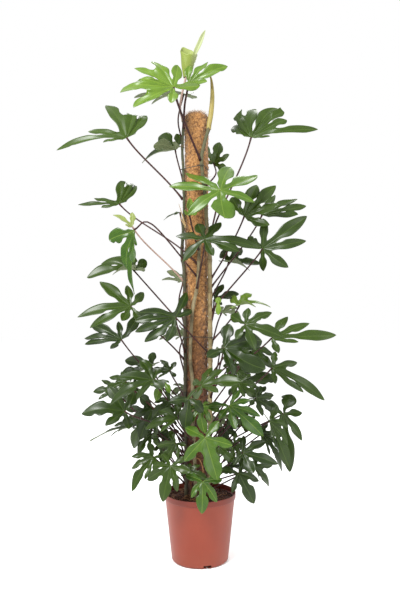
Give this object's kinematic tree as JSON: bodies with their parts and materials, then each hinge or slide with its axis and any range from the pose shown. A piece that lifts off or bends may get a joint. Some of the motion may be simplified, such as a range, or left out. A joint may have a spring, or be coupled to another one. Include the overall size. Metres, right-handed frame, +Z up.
{
  "type": "potted philodendron on a coir pole",
  "caption": "Split-leaf climbing plant with long-stalked lobed leaves, tied to a tall coir pole that stands in a round tapered nursery pot.",
  "frame": {"origin": "middle of the pot's flat underside, on the surface that it stands on", "axes": "+Z up along the pole; -Y is the front, the side with the front stem; +X is the plant's right as seen from the front"},
  "size_m": [0.9364, 0.4645, 1.7724],
  "materials": {
    "pot_plastic": "satin",
    "potting_mix": "matte",
    "stake_wood": "matte",
    "coir": "matte",
    "tie_wire": "satin",
    "stem_bark": "matte",
    "root": "matte",
    "dry_sheath": "satin",
    "unfurling_leaf": "satin",
    "young_leaf": "gloss",
    "mature_leaf": "satin"
  },
  "bodies": {
    "root": {"pot": "pot_plastic", "soil": "potting_mix", "pole_core": "stake_wood", "coir_sleeve": "coir", "tie_upper": "tie_wire", "tie_middle": "tie_wire", "tie_lower": "tie_wire", "stem_left": "stem_bark", "stem_front": "stem_bark", "stem_right": "stem_bark", "aerial_root": "root", "leaf_sheath": "dry_sheath", "new_leaf": "unfurling_leaf", "leaf_01": "young_leaf", "leaf_02": "young_leaf", "leaf_03": "mature_leaf", "leaf_04": "mature_leaf", "leaf_05": "mature_leaf", "leaf_06": "mature_leaf", "leaf_07": "mature_leaf", "leaf_08": "young_leaf", "leaf_09": "mature_leaf", "leaf_10": "young_leaf", "leaf_11": "unfurling_leaf", "leaf_12": "mature_leaf", "leaf_13": "mature_leaf", "leaf_14": "mature_leaf", "leaf_15": "mature_leaf", "leaf_16": "mature_leaf", "leaf_17": "mature_leaf", "leaf_18": "young_leaf", "leaf_19": "mature_leaf", "leaf_20": "mature_leaf", "leaf_21": "mature_leaf", "leaf_22": "mature_leaf", "leaf_23": "mature_leaf", "leaf_24": "mature_leaf", "leaf_25": "mature_leaf", "leaf_26": "mature_leaf", "leaf_27": "mature_leaf", "leaf_28": "mature_leaf", "leaf_29": "mature_leaf", "leaf_30": "mature_leaf", "leaf_31": "young_leaf", "leaf_32": "young_leaf", "leaf_33": "young_leaf", "leaf_34": "mature_leaf", "leaf_35": "young_leaf", "leaf_36": "mature_leaf", "leaf_37": "mature_leaf", "leaf_38": "mature_leaf", "leaf_39": "mature_leaf", "leaf_40": "mature_leaf", "leaf_41": "young_leaf", "leaf_42": "mature_leaf", "leaf_43": "mature_leaf", "leaf_44": "mature_leaf", "leaf_45": "mature_leaf", "leaf_46": "mature_leaf", "leaf_47": "mature_leaf"}
  },
  "joints": []
}
